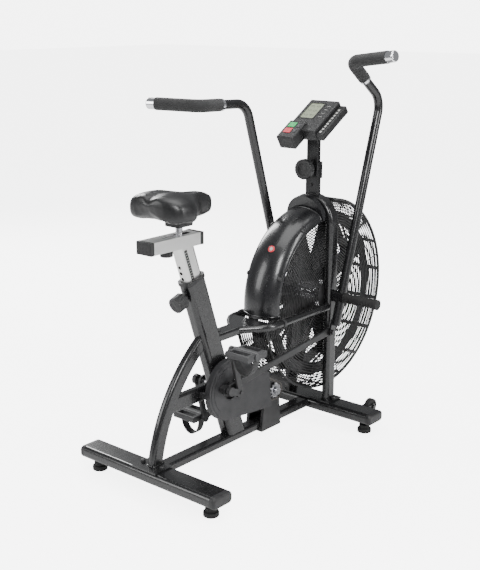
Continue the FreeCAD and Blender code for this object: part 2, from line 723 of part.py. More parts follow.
# ---------------------------------------------------------------- seat
rail_low, rail_high = 778.0, 817.0
rail_back, rail_front = fan_x - 833, fan_x - 630
rail_half = 31.0
rail_wall = 3.0
stem_x = fan_x - 694
slider_knob_x = fan_x - 751


def seat_group():
    collar = bar(frame_post(seat_tube_top), frame_post(seat_tube_top + 12), seat_rear,
                 seat_tube_deep + 5, seat_tube_wide + 5, 17)
    sleeve = bar(frame_post(seat_tube_top - 30), frame_post(seat_tube_top + 12), seat_rear,
                 seat_tube_deep - 2 * tube_wall, seat_tube_wide - 2 * tube_wall, 13.5)
    bore = bar(frame_post(pin_reach - 65), frame_post(seat_tube_top + 40), seat_rear,
               post_deep + 0.7, post_wide + 0.7, 15.3)
    save("seat_collar", fused(collar, sleeve).cut(bore))

    top = frame_post(seat_tube_top + post_out + 40)
    post = bar(frame_post(seat_tube_top - post_in), top, seat_rear, post_deep, post_wide, 15, 2.5)
    post = post.cut(block(-1500, 1500, -100, 100, rail_low, 1500))
    for n in range(-9, 6):
        spot = pin_reach + n * hole_pitch
        post = post.cut(rod(frame_post(spot, back=post_deep / 2 - 6), frame_post(spot, back=50), 6.0))
    post = max(post.Solids, key=lambda s: s.Volume)
    rail = block(rail_back, rail_front, -rail_half, rail_half, rail_low, rail_high)
    bore_half = rail_half - rail_wall
    rail = rail.cut(block(rail_back - 1, rail_front + 1, -bore_half, bore_half,
                          rail_low + rail_wall, rail_high - rail_wall))
    rail = rail.cut(block(stem_x - 78, stem_x + 46, -12.5, 12.5, rail_high - 5, rail_high + 5))
    rail = rail.cut(block(slider_knob_x - 68, slider_knob_x + 36, -6, 6, rail_low - 5, rail_low + 5))
    save("seat_post", post)
    save("seat_rail", rail, *rail_caps())

    block_shape = block(slider_knob_x - 16, stem_x + 20, 0.4 - bore_half, bore_half - 0.4,
                        rail_low + rail_wall + 0.4, rail_high - rail_wall - 0.4)
    screw_hole = rod(at(slider_knob_x, 0, rail_low - 20), at(slider_knob_x, 0, rail_low + 20), 4.05)
    block_shape = block_shape.cut(screw_hole)
    stem = rod(at(stem_x, 0, rail_high - 3.4), at(stem_x, 0, 874), 11)
    clamp = block(stem_x - 34, stem_x + 34, -30, 30, 843, 869, 5)
    save("seat_carriage", fused(block_shape, stem, clamp))

    knob = fluted_knob(20, 20, 12)
    screw = rod(at(0, 0, 20), at(0, 0, 40), 4)
    knob = fused(knob, screw)
    save("slider_knob", placed(knob, at(slider_knob_x, 0, rail_low - 22), X, Z))

    knob_at = frame_post(pin_reach, back=seat_tube_deep / 2 + 17)
    pull = fluted_knob(27, 38, 14)
    pin = rod(at(0, 0, -16), at(0, 0, 0), 9)
    tip = rod(at(0, 0, -20.3), at(0, 0, -16), 5)
    save("height_knob", placed(fused(pull, pin, tip), knob_at, Y, seat_rear))
    saddle(fused(stem, clamp))


def rail_caps():
    caps = []
    for x, way in ((rail_back, -1), (rail_front, 1)):
        cap = block(x, x + way * 15, -rail_half - 1, rail_half + 1, rail_low - 1, rail_high + 1, 2)
        plug_half = rail_half - rail_wall - 0.2
        plug = block(x, x - way * 8, -plug_half, plug_half,
                     rail_low + rail_wall + 0.2, rail_high - rail_wall - 0.2)
        caps.append(fused(cap, plug))
    return caps


def fluted_knob(radius, tall, flutes):
    """A round grip with scalloped sides, from z = 0 upwards."""
    knob = Part.makeCylinder(radius, tall)
    knob = knob.makeFillet(2.5, [knob.Edges[0], knob.Edges[2]])
    for n in range(flutes):
        turn = 2 * math.pi * n / flutes
        spot = Vector((radius + 2.2) * math.cos(turn), (radius + 2.2) * math.sin(turn), -1)
        knob = knob.cut(Part.makeCylinder(4.0, tall + 2, spot))
    return knob


def saddle(support):
    """The saddle as a plain closed pad: wide and low at the back, narrow at the nose."""
    stations = [  # distance behind the nose, half width, underside, top
        (0.0, 22.0, 877.0, 912.0),
        (40.0, 36.0, 872.0, 933.0),
        (110.0, 64.0, 862.0, 943.0),
        (185.0, 112.0, 856.0, 956.0),
        (235.0, 117.0, 856.0, 959.0),
        (287.0, 96.0, 864.0, 954.0),
    ]
    nose_x = fan_x - 548
    wires = []
    for back, half, low, high in stations:
        face = rounded_face(2 * half, high - low, (high - low) * 0.42)
        centre = at(nose_x - back, 0, (low + high) / 2)
        wires.append(placed(face, centre, Y, -X).OuterWire)
    pad = Part.makeLoft(wires, True, False)
    save("saddle", pad.cut(support))


# ---------------------------------------------------------------- console
face_tilt = math.radians(31.5)  # the face rises away from the rider
tilt_axis = at(fan_x - 20, 0, 1063)
face_up = Vector(math.cos(face_tilt), 0, math.sin(face_tilt))
face_out = Vector(-math.sin(face_tilt), 0, math.cos(face_tilt))
face_low = at(fan_x - 88, 0, 1084)  # lower middle of the display face
pod_low = -56.0  # the key pod's lower end, along the face
screen_low, screen_high = 70.0, 156.0
screen_right, screen_left = -13.0, 45.0


def slab(along0, along1, y0, y1, out0, out1, fillet=0.0):
    """A box lying on the console face."""
    shape = Part.makeBox(along1 - along0, abs(y1 - y0), out1 - out0, Vector(along0, min(y0, y1), out0))
    if fillet:
        shape = shape.makeFillet(fillet, shape.Edges)
    turn = Matrix(
        face_up.x, 0, face_out.x, face_low.x,
        0, 1, 0, 0,
        face_up.z, 0, face_out.z, face_low.z,
        0, 0, 0, 1,
    )
    moved = shape.copy()
    moved.Placement = Placement(turn)
    return moved


def console():
    post = bar(at(fan_x, 0, 872), at(fan_x, 0, 1038), Y, 48, 22, 4, 2)
    head = fused(bar(at(fan_x, 0, 1038), at(fan_x, 0, 1044), Y, 48, 22, 4),
                 block(fan_x - 32, fan_x + 4, -9, 9, 1044, 1072))
    head = head.cut(rod(at(tilt_axis.x, -20, tilt_axis.z), at(tilt_axis.x, 20, tilt_axis.z), 5.05))
    save("console_post", fused(post, head))

    head_room = across(tilt_axis, 27, -9.4, 9.4)
    body = slab(0, 178, -62, 62, -42, 0, 5)
    ledge = slab(4, 172, -90, -62, -42, -14, 4)
    pod = slab(pod_low, pod_low + 98, -8, 63, -42, 9, 6)
    case = fused(body, ledge, pod).cut(head_room)
    case = case.cut(slab(screen_low, screen_high, screen_right, screen_left, -3, 3))
    green, red, grey_up, grey_down = 58.0 + pod_low, 26.0 + pod_low, 60.0 + pod_low, 32.0 + pod_low
    case = case.cut(slab(green, green + 26, 20, 50, 5, 12)).cut(slab(red, red + 26, 20, 50, 5, 12))
    case = case.cut(slab(grey_up, grey_up + 18, 0, 14, 5, 12)).cut(slab(grey_down, grey_down + 18, 0, 14, 5, 12))
    ears = [fused(block(tilt_axis.x - 11, tilt_axis.x + 11, s * 9.5, s * 13.5, 1054, 1092),
                  rod(at(tilt_axis.x, s * 9.5, tilt_axis.z), at(tilt_axis.x, s * 13.5, tilt_axis.z), 14))
            for s in (-1, 1)]
    pin = rod(at(tilt_axis.x, -17, tilt_axis.z), at(tilt_axis.x, 17, tilt_axis.z), 5)
    save("console_case", fused(case, *ears, pin))
    save("console_screen", slab(screen_low + 0.3, screen_high - 0.3, screen_right + 0.3, screen_left - 0.3, -3, -1))
    save("start_button", slab(green + 0.4, green + 25.6, 20.4, 49.6, 7.0, 11, 1.2))
    save("stop_button", slab(red + 0.4, red + 25.6, 20.4, 49.6, 7.0, 11, 1.2))
    save("up_key", slab(grey_up + 0.4, grey_up + 17.6, 0.4, 13.6, 7.0, 10.6, 1))
    save("down_key", slab(grey_down + 0.4, grey_down + 17.6, 0.4, 13.6, 7.0, 10.6, 1))

    wheel = fluted_knob(36, 22, 10)
    recess = Part.makeCylinder(22, 4, Vector(0, 0, 19))
    shank = Part.makeCylinder(6, 32, Vector(0, 0, -30))
    boss = Part.makeCylinder(14, 18, Vector(0, 0, -20))
    knob = fused(wheel.cut(recess), boss, shank)
    save("mast_knob", placed(knob, at(fan_x - 42, 0, 944), Y, -X))


# ---------------------------------------------------------------- feet, wheels and fasteners
def feet():
    for x, end in ((rear_foot_x, "rear"), (front_foot_x, "front")):
        for y, side in ((-foot_y, "right"), (foot_y, "left")):
            base = rod(at(x, y, 0), at(x, y, 16), 25)
            base = base.makeFillet(3, [base.Edges[0], base.Edges[2]])
            upper = rod(at(x, y, 16), at(x, y, 30), 19)
            stud = rod(at(x, y, 30), at(x, y, 58), 6)
            save(f"foot_{end}_{side}", fused(base, upper, stud))


wheel_x, wheel_y, wheel_z = front_foot_x + 78, 222.0, 68.0


def wheels():
    brackets = []
    for side, name in ((-1, "right"), (1, "left")):
        centre = at(wheel_x, 0, wheel_z)
        y = side * wheel_y
        wheel = across(centre, 29, y - 11, y + 11)
        wheel = wheel.makeFillet(4, [e for e in wheel.Edges if e.Length > 150])
        for s in (-1, 1):
            wheel = wheel.cut(across(centre, 20, y + s * 8, y + s * 12))
        hub = across(centre, 9, y - 11, y + 11)
        wheel = fused(wheel, hub).cut(across(centre, 5.05, y - 20, y + 20))
        save("transport_wheel_" + name, wheel)
        axle = across(centre, 5, y - 19, y + 19)
        head = [across(centre, 8, y + s * 16, y + s * 20) for s in (-1, 1)]
        plates = []
        for s in (-1, 1):
            ear = fused(block(front_foot_x + 30, wheel_x, y + s * 12, y + s * 15, wheel_z - 12, wheel_z + 10),
                        across(centre, 12, y + s * 12, y + s * 15))
            plates.append(ear.cut(stabilizer_solid(front_foot_x)))
        brackets.append(fused(axle, *head, *plates))
    for x, half in ((rear_foot_x, 52.0), (front_foot_x, 118.0)):
        brackets.append(block(x - 40, x + 40, -half, half, stabilizer_top, stabilizer_top + 5))
    save("stabilizer_brackets", *brackets)


def bolt_head(x, y, z, radius=8.0, tall=8.0):
    head = Part.makeCylinder(radius, tall, at(x, y, z))
    return head.makeFillet(radius * 0.5, [max(head.Edges, key=lambda e: e.CenterOfMass.z)])


def fasteners():
    solids = []
    for side in (-1, 1):
        solids.append(bolt_head(rear_foot_x, side * 42, stabilizer_top + 5, 8, 10))
        solids.append(bolt_head(front_foot_x, side * 110, stabilizer_top + 5, 7, 9))
        clip_x = crank_x + 232
        clip = rod(at(clip_x - 6, side * 92, 449.2), at(clip_x + 6, side * 92, 449.2), 15.5, 13.3)
        solids.append(clip)
    solids.append(bolt_head(crank_x + 6, 0, 459.5, 6, 4))
    solids.append(block(crank_x - 107, crank_x - 97, -37.5, -15, crank_z - 10, crank_z + 10))
    for side in (-1, 1):
        for z in (fan_z - 180, fan_z + 180):
            solids.append(block(fan_x - 10, fan_x + 10, side * 69.2, side * 71, z - 20, z + 20))
    save("frame_fasteners", *solids)


stabilizers()
stabilizer_caps()
frame_tubes()
arch_solid = hoop()
mast(arch_solid)
for guard in (-1, 1):
    guard_side(guard)
guard_rim()
fender_cover()
fan_wheel()
fan_axle()
crankset()
pedals()
push_rods()
jackshaft()
drive_bracket()
chains()
chain_guard()
fan_chain_guard()
handles()
seat_group()
console()
feet()
wheels()
fasteners()
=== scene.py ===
"""Looks for the air bike: materials, fine wire guards, the padded saddle and small trim.

Metres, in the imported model's own frame: +X the way the rider faces, +Y the rider's left, floor z = 0.
"""

import json
import math

import bmesh
import bpy
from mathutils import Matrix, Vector


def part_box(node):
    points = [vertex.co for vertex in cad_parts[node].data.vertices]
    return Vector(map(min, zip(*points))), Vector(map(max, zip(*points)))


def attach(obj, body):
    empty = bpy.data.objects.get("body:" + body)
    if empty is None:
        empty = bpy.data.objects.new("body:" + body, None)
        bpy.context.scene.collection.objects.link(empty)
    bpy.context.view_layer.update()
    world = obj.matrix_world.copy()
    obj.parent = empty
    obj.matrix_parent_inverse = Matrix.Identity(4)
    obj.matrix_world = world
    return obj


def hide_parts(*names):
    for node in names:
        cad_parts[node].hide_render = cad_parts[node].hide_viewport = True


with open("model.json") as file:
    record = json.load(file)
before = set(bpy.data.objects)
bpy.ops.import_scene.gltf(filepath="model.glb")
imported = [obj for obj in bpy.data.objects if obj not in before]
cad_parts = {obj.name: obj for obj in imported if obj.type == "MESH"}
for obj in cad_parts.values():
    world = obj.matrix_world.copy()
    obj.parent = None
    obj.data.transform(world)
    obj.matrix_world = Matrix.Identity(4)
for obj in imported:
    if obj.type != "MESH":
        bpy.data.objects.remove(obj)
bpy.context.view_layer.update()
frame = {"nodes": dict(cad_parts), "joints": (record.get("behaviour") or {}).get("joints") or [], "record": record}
nodes = frame["nodes"]

MM = 0.001


def joint(name):
    return next(j for j in frame["joints"] if j["name"] == name)


def span(node, axis):
    """How far a CAD node reaches along an axis, as (least, most)."""
    mesh = nodes[node].data
    reach = [v.co.dot(axis) for v in mesh.vertices]
    return min(reach), max(reach)


def end_face(node, axis):
    """The middle of a CAD node's outermost face along an axis."""
    mesh = nodes[node].data
    most = max(v.co.dot(axis) for v in mesh.vertices)
    near = [v.co for v in mesh.vertices if v.co.dot(axis) > most - 0.0004]
    low = Vector(tuple(min(p[i] for p in near) for i in range(3)))
    high = Vector(tuple(max(p[i] for p in near) for i in range(3)))
    return (low + high) / 2


FAN = Vector(joint("fan_spin")["pos_m"])
CRANK = Vector(joint("crank_spin")["pos_m"])
SEAT_AXIS = Vector(joint("seat_height")["axis"]).normalized()
SEAT_REAR = Vector(joint("height_knob_pull")["axis"]).normalized()
UP = Vector((0, 0, 1))
SIDE = Vector((0, 1, 0))


# ---------------------------------------------------------------- camera, floor and light
def camera():
    yaw, pitch = math.radians(40.4), math.radians(15.27)
    data = bpy.data.cameras.new("camera")
    data.lens = 63.8
    data.sensor_width = 36.0
    eye = bpy.data.objects.new("camera", data)
    ahead = Vector((math.cos(yaw) * math.cos(pitch), math.sin(yaw) * math.cos(pitch), -math.sin(pitch)))
    eye.location = Vector((FAN.x - 2.8966, -2.1216, 1.4876))
    eye.rotation_mode = "QUATERNION"
    eye.rotation_quaternion = ahead.to_track_quat("-Z", "Y")
    bpy.context.scene.collection.objects.link(eye)
    bpy.context.scene.camera = eye


def area_light(name, place, target, size, power):
    data = bpy.data.lights.new(name, "AREA")
    data.shape = "RECTANGLE"
    data.size, data.size_y = size
    data.energy = power
    lamp = bpy.data.objects.new(name, data)
    lamp.location = place
    lamp.rotation_mode = "QUATERNION"
    lamp.rotation_quaternion = (Vector(target) - Vector(place)).to_track_quat("-Z", "Y")
    bpy.context.scene.collection.objects.link(lamp)


def studio():
    """Soft lamps, a dim surround that only the lens sees as white, and a pale floor."""
    area_light("key", (-2.4, -2.2, 2.9), (0, 0, 0.6), (0.9, 1.6), 120)
    area_light("side", (0.9, -3.4, 2.2), (0, 0, 0.7), (0.7, 2.4), 95)
    area_light("fill", (-3.2, 2.0, 2.0), (0, 0, 0.6), (1.2, 2.2), 60)
    area_light("rim", (1.2, 3.2, 2.4), (0, 0, 0.7), (0.8, 2.2), 100)
    area_light("top", (0.0, -0.2, 3.6), (0, 0, 0), (3.0, 2.4), 95)
    world = bpy.data.worlds.new("studio")
    bpy.context.scene.world = world
    world.use_nodes = True
    tree = world.node_tree
    seen, lit = tree.nodes["Background"], tree.nodes.new("ShaderNodeBackground")
    seen.inputs["Color"].default_value = (1, 1, 1, 1)
    seen.inputs["Strength"].default_value = 6.0
    lit.inputs["Color"].default_value = (0.96, 0.98, 1, 1)
    lit.inputs["Strength"].default_value = 0.32
    blend, path = tree.nodes.new("ShaderNodeMixShader"), tree.nodes.new("ShaderNodeLightPath")
    tree.links.new(path.outputs["Is Camera Ray"], blend.inputs["Fac"])
    tree.links.new(lit.outputs["Background"], blend.inputs[1])
    tree.links.new(seen.outputs["Background"], blend.inputs[2])
    tree.links.new(blend.outputs["Shader"], tree.nodes["World Output"].inputs["Surface"])
    mesh = bpy.data.meshes.new("floor")
    mesh.from_pydata([(-30, -30, 0), (30, -30, 0), (30, 30, 0), (-30, 30, 0)], [], [(0, 1, 2, 3)])
    floor = bpy.data.objects.new("floor", mesh)
    bpy.context.scene.collection.objects.link(floor)
    paint = finish("floor_paint", (0.95, 0.95, 0.95), 0.8, grain=4.0, mottle=0.02)
    tree = paint.node_tree
    glow, total = tree.nodes.new("ShaderNodeEmission"), tree.nodes.new("ShaderNodeAddShader")
    none, pick = tree.nodes.new("ShaderNodeEmission"), tree.nodes.new("ShaderNodeMixShader")
    path = tree.nodes.new("ShaderNodeLightPath")
    glow.inputs["Strength"].default_value = 5.0
    none.inputs["Strength"].default_value = 0.0
    tree.links.new(path.outputs["Is Camera Ray"], pick.inputs["Fac"])
    tree.links.new(none.outputs["Emission"], pick.inputs[1])
    tree.links.new(glow.outputs["Emission"], pick.inputs[2])
    tree.links.new(tree.nodes["Principled BSDF"].outputs["BSDF"], total.inputs[0])
    tree.links.new(pick.outputs["Shader"], total.inputs[1])
    tree.links.new(total.outputs["Shader"], tree.nodes["Material Output"].inputs["Surface"])
    floor.data.materials.append(paint)


# ---------------------------------------------------------------- materials
def finish(name, colour, rough, metal=0.0, grain=900.0, depth=0.05, mottle=0.25, stretch=(1, 1, 1),
           coat=0.0, rough_spread=0.12, cells=False, sheen=0.0, reach=0.0006):
    """A procedural surface: mottled colour, uneven roughness and a fine bump at the stated grain."""
    made = bpy.data.materials.new(name)
    made.use_nodes = True
    tree = made.node_tree
    shader = tree.nodes["Principled BSDF"]
    shader.inputs["Metallic"].default_value = metal
    shader.inputs["Coat Weight"].default_value = coat
    shader.inputs["Sheen Weight"].default_value = sheen
    where = tree.nodes.new("ShaderNodeTexCoord")
    scaled = tree.nodes.new("ShaderNodeMapping")
    scaled.inputs["Scale"].default_value = stretch
    tree.links.new(where.outputs["Object"], scaled.inputs["Vector"])

    broad = tree.nodes.new("ShaderNodeTexNoise")
    broad.inputs["Scale"].default_value = 14.0
    broad.inputs["Detail"].default_value = 5.0
    tree.links.new(scaled.outputs["Vector"], broad.inputs["Vector"])
    tint = tree.nodes.new("ShaderNodeValToRGB")
    tint.color_ramp.elements[0].position = 0.32
    tint.color_ramp.elements[1].position = 0.72
    tint.color_ramp.elements[0].color = (*[c * (1 - mottle) for c in colour], 1)
    tint.color_ramp.elements[1].color = (*[min(1, c * (1 + mottle)) for c in colour], 1)
    tree.links.new(broad.outputs["Fac"], tint.inputs["Fac"])
    tree.links.new(tint.outputs["Color"], shader.inputs["Base Color"])

    wear = tree.nodes.new("ShaderNodeTexNoise")
    wear.inputs["Scale"].default_value = 45.0
    wear.inputs["Detail"].default_value = 6.0
    tree.links.new(scaled.outputs["Vector"], wear.inputs["Vector"])
    spread = tree.nodes.new("ShaderNodeMapRange")
    spread.inputs["To Min"].default_value = max(0.02, rough - rough_spread)
    spread.inputs["To Max"].default_value = min(1.0, rough + rough_spread)
    tree.links.new(wear.outputs["Fac"], spread.inputs["Value"])
    tree.links.new(spread.outputs["Result"], shader.inputs["Roughness"])

    fine = tree.nodes.new("ShaderNodeTexVoronoi" if cells else "ShaderNodeTexNoise")
    fine.inputs["Scale"].default_value = grain
    tree.links.new(scaled.outputs["Vector"], fine.inputs["Vector"])
    bump = tree.nodes.new("ShaderNodeBump")
    bump.inputs["Strength"].default_value = depth
    bump.inputs["Distance"].default_value = reach
    tree.links.new(fine.outputs["Distance" if cells else "Fac"], bump.inputs["Height"])
    tree.links.new(bump.outputs["Normal"], shader.inputs["Normal"])
    return made


PAINT = finish("powder_coat", (0.0062, 0.0062, 0.0068), 0.27, grain=700, depth=0.012, mottle=0.12, coat=0.25,
               rough_spread=0.04)
WIRE = finish("wire_enamel", (0.006, 0.006, 0.0065), 0.36, grain=900, depth=0.1)
COVER = finish("moulded_cover", (0.0065, 0.0065, 0.0075), 0.28, grain=1500, depth=0.02, cells=True, mottle=0.12,
               coat=0.2, rough_spread=0.04)
PLASTIC = finish("grained_plastic", (0.008, 0.008, 0.0085), 0.45, grain=1300, depth=0.3, cells=True)
GUARD_PLASTIC = finish("guard_plastic", (0.019, 0.019, 0.0205), 0.5, grain=1300, depth=0.25, cells=True)
RUBBER = finish("rubber", (0.007, 0.007, 0.007), 0.72, grain=600, depth=0.3)
FOAM = finish("foam_grip", (0.012, 0.012, 0.0125), 0.82, grain=900, depth=0.7, cells=True, sheen=0.1,
              reach=0.001)
VINYL = finish("saddle_vinyl", (0.0065, 0.0065, 0.007), 0.36, grain=420, depth=0.28, cells=True,
               mottle=0.15)
ALUMINIUM = finish("anodised_aluminium", (0.66, 0.66, 0.65), 0.32, 1.0, grain=500, depth=0.08,
                   mottle=0.05, stretch=(0.04, 1, 1))
STEEL = finish("turned_steel", (0.5, 0.5, 0.52), 0.28, 1.0, grain=600, depth=0.1, mottle=0.12)
DARK_STEEL = finish("dark_steel", (0.03, 0.03, 0.031), 0.42, 0.3, grain=500, depth=0.16)
BRACKET = finish("bracket_paint", (0.012, 0.012, 0.0125), 0.42, grain=700, depth=0.14)
CHROME = finish("chrome", (0.82, 0.82, 0.84), 0.08, 1.0, grain=300, depth=0.02, mottle=0.03,
                rough_spread=0.04)
CHAIN = finish("oiled_chain", (0.1, 0.095, 0.09), 0.4, 0.9, grain=500, depth=0.2, mottle=0.4)
FAN_PAINT = finish("fan_paint", (0.0075, 0.0075, 0.008), 0.3, grain=800, depth=0.03, coat=0.1, rough_spread=0.05)
PEDAL = finish("pedal_plastic", (0.03, 0.03, 0.032), 0.48, grain=1000, depth=0.3, cells=True)
STRAP = finish("strap_rubber", (0.018, 0.018, 0.0185), 0.62, grain=700, depth=0.4)
LCD = finish("display_glass", (0.27, 0.3, 0.22), 0.2, grain=60, depth=0.02, mottle=0.06)
GREEN = finish("green_key", (0.03, 0.42, 0.12), 0.4, grain=900, depth=0.1, mottle=0.1)
RED = finish("red_key", (0.62, 0.06, 0.08), 0.4, grain=900, depth=0.1, mottle=0.1)
GREY = finish("grey_key", (0.05, 0.05, 0.055), 0.4, grain=900, depth=0.1)
MARK = finish("printed_mark", (0.42, 0.42, 0.4), 0.6, grain=700, depth=0.1, mottle=0.15)
GREY_MARK = finish("lcd_mark", (0.07, 0.08, 0.06), 0.5, grain=700, depth=0.1, mottle=0.15)
BADGE = finish("badge_enamel", (0.5, 0.03, 0.04), 0.3, grain=700, depth=0.05, mottle=0.1)

BY_SLOT = {
    "frame_black": PAINT, "cover_black": COVER, "black_plastic": PLASTIC, "guard_wire": WIRE,
    "steel": STEEL, "chrome": CHROME, "chain": CHAIN, "dark_steel": DARK_STEEL, "fan_metal": FAN_PAINT,
    "seat_metal": ALUMINIUM, "rubber": RUBBER, "grip": FOAM, "saddle_cover": VINYL, "pedal": PEDAL,
    "screen": LCD, "green_key": GREEN, "red_key": RED, "grey_key": GREY,
}


def paint(node, *materials):
    """Gives a CAD node its material slots, in place of the ones that it came with."""
    mesh = nodes[node].data
    mesh.materials.clear()
    for made in materials:
        mesh.materials.append(made)


def islands(mesh):
    """The mesh's separate shells, longest box first, as (faces, low, high).

    Seams with doubled points count as joined.
    """
    shape = bmesh.new()
    shape.from_mesh(mesh)
    shape.faces.ensure_lookup_table()
    group = {}
    owner = []
    for vert in shape.verts:
        key = tuple(round(c, 5) for c in vert.co)
        owner.append(group.setdefault(key, len(group)))
    parent = list(range(len(group)))

    def root(n):
        while parent[n] != n:
            parent[n] = parent[parent[n]]
            n = parent[n]
        return n

    for face in shape.faces:
        first = root(owner[face.verts[0].index])
        for vert in face.verts[1:]:
            parent[root(owner[vert.index])] = first
    found = {}
    for face in shape.faces:
        found.setdefault(root(owner[face.verts[0].index]), []).append(face.index)
    made = []
    for faces in found.values():
        points = [v.co for f in faces for v in shape.faces[f].verts]
        low = Vector(tuple(min(p[i] for p in points) for i in range(3)))
        high = Vector(tuple(max(p[i] for p in points) for i in range(3)))
        made.append((faces, low, high))
    shape.free()
    return sorted(made, key=lambda g: -(g[2] - g[1]).length)


def paint_islands(node, main, small):
    """The largest shell of a CAD node gets one material and its smaller shells another."""
    paint(node, main, small)
    mesh = nodes[node].data
    for number, (faces, _, _) in enumerate(islands(mesh)):
        for face in faces:
            mesh.polygons[face].material_index = 0 if number == 0 else 1


def paint_above(node, main, other, level):
    """Faces of a CAD node that lie above a height get the other material."""
    paint(node, main, other)
    mesh = nodes[node].data
    for face in mesh.polygons:
        face.material_index = 1 if face.center.z > level else 0


def paint_nodes():
    for row in frame["record"]["subparts"]:
        paint(row["node"], BY_SLOT[row["material_slot"]])
    paint_islands("seat_rail", ALUMINIUM, PLASTIC)
    for side in ("right", "left"):
        paint_islands("handle_grip_" + side, FOAM, CHROME)
        paint_islands("pedal_" + side, PEDAL, STRAP)
        paint("push_rod_" + side, BRACKET)
    paint("chain_guard", GUARD_PLASTIC)
    paint_above("seat_carriage", STEEL, PLASTIC, 0.842)
    paint("drive_bracket", BRACKET)


# ---------------------------------------------------------------- building blocks
def piece(name, mesh, material, body, smooth=True):
    """Links a finished mesh, gives it its material and rides it on a body."""
    obj = bpy.data.objects.new(name, mesh)
    bpy.context.scene.collection.objects.link(obj)
    mesh.materials.append(material)
    for face in mesh.polygons:
        face.use_smooth = smooth
    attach(obj, body)
    return obj


def mesh_of(name, verts, faces):
    mesh = bpy.data.meshes.new(name)
    mesh.from_pydata([tuple(v) for v in verts], [], faces)
    mesh.update()
    return mesh


class Builder:
    """Gathers simple closed shapes into one mesh."""

    def __init__(self):
        self.verts, self.faces = [], []

    def tube(self, path, radius, sides=8, closed=False):
        """A round wire along a list of points; radius may be a pair (across, up)."""
        wide, tall = radius if isinstance(radius, tuple) else (radius, radius)
        start, count = len(self.verts), len(path)
        normal = None
        for n, point in enumerate(path):
            before = path[n - 1] if n or closed else path[n]
            after = path[(n + 1) % count] if n < count - 1 or closed else path[n]
            ahead = (after - before).normalized()
            if normal is None:
                normal = ahead.orthogonal().normalized()
            normal = (normal - ahead * normal.dot(ahead)).normalized()
            across = ahead.cross(normal)
            for s in range(sides):
                turn = 2 * math.pi * s / sides
                self.verts.append(point + normal * (wide * math.cos(turn)) + across * (tall * math.sin(turn)))
        for n in range(count if closed else count - 1):
            for s in range(sides):
                a, b = start + n * sides, start + (n + 1) % count * sides
                self.faces.append((a + s, a + (s + 1) % sides, b + (s + 1) % sides, b + s))
        if not closed:
            self.faces.append(tuple(start + s for s in reversed(range(sides))))
            self.faces.append(tuple(start + (count - 1) * sides + s for s in range(sides)))

    def ring(self, centre, axis, radius, thick, start=0.0, end=360.0, steps=120, sides=8):
        """A round wire hoop, or part of one, measured from +X towards +Z for an axis along Y."""
        side = Vector((1, 0, 0)) if abs(axis.y) > 0.9 else axis.orthogonal().normalized()
        up = UP if abs(axis.y) > 0.9 else axis.cross(side)
        whole = end - start >= 359.9
        count = max(6, int(steps * (end - start) / 360.0)) + (0 if whole else 1)
        path = []
        for n in range(count):
            turn = math.radians(start + (end - start) * n / (count if whole else count - 1))
            path.append(centre + side * (radius * math.cos(turn)) + up * (radius * math.sin(turn)))
        self.tube(path, thick, sides, closed=whole)

    def slab(self, centre, x_axis, y_axis, size, chamfer=0.0):
        """A block with chamfered upright edges; its z runs along x_axis cross y_axis."""
        x_axis, y_axis = x_axis.normalized(), y_axis.normalized()
        z_axis = x_axis.cross(y_axis)
        a, b, c = (s / 2 for s in size)
        k = min(chamfer, a * 0.9, b * 0.9)
        outline = [(a - k, -b), (a, -b + k), (a, b - k), (a - k, b),
                   (-a + k, b), (-a, b - k), (-a, -b + k), (-a + k, -b)]
        if not k:
            outline = [(a, -b), (a, b), (-a, b), (-a, -b)]
        start, count = len(self.verts), len(outline)
        for level in (-c, c):
            for u, v in outline:
                self.verts.append(centre + x_axis * u + y_axis * v + z_axis * level)
        for n in range(count):
            m = (n + 1) % count
            self.faces.append((start + n, start + m, start + count + m, start + count + n))
        self.faces.append(tuple(start + n for n in reversed(range(count))))
        self.faces.append(tuple(start + count + n for n in range(count)))

    def turned(self, base, axis, profile, sides=32):
        """A turned shape: (distance along the axis, radius) pairs, closed at both ends."""
        axis = axis.normalized()
        side = axis.orthogonal().normalized()
        up = axis.cross(side)
        start = len(self.verts)
        for along, radius in profile:
            for s in range(sides):
                turn = 2 * math.pi * s / sides
                spoke = side * (radius * math.cos(turn)) + up * (radius * math.sin(turn))
                self.verts.append(base + axis * along + spoke)
        for n in range(len(profile) - 1):
            for s in range(sides):
                a, b = start + n * sides, start + (n + 1) * sides
                self.faces.append((a + s, a + (s + 1) % sides, b + (s + 1) % sides, b + s))
        self.faces.append(tuple(start + s for s in reversed(range(sides))))
        self.faces.append(tuple(start + (len(profile) - 1) * sides + s for s in range(sides)))

    def done(self, name, material, body, slot, smooth=True):
        obj = piece(name, mesh_of(name, self.verts, self.faces), material, body, smooth)
        if smooth:
            obj.data.set_sharp_from_angle(angle=math.radians(40))
        return obj


# ---------------------------------------------------------------- wire guards
RING_PITCH = 0.0093
WIRE_RADIUS = 0.002


def ring_gaps(radius):
    """The stretches of a guard ring that show: the outer rings stop at the hoop and behind the cover."""
    if radius < 0.300:
        return [(0.0, 360.0)]
    return [(186.0, 445.0)]


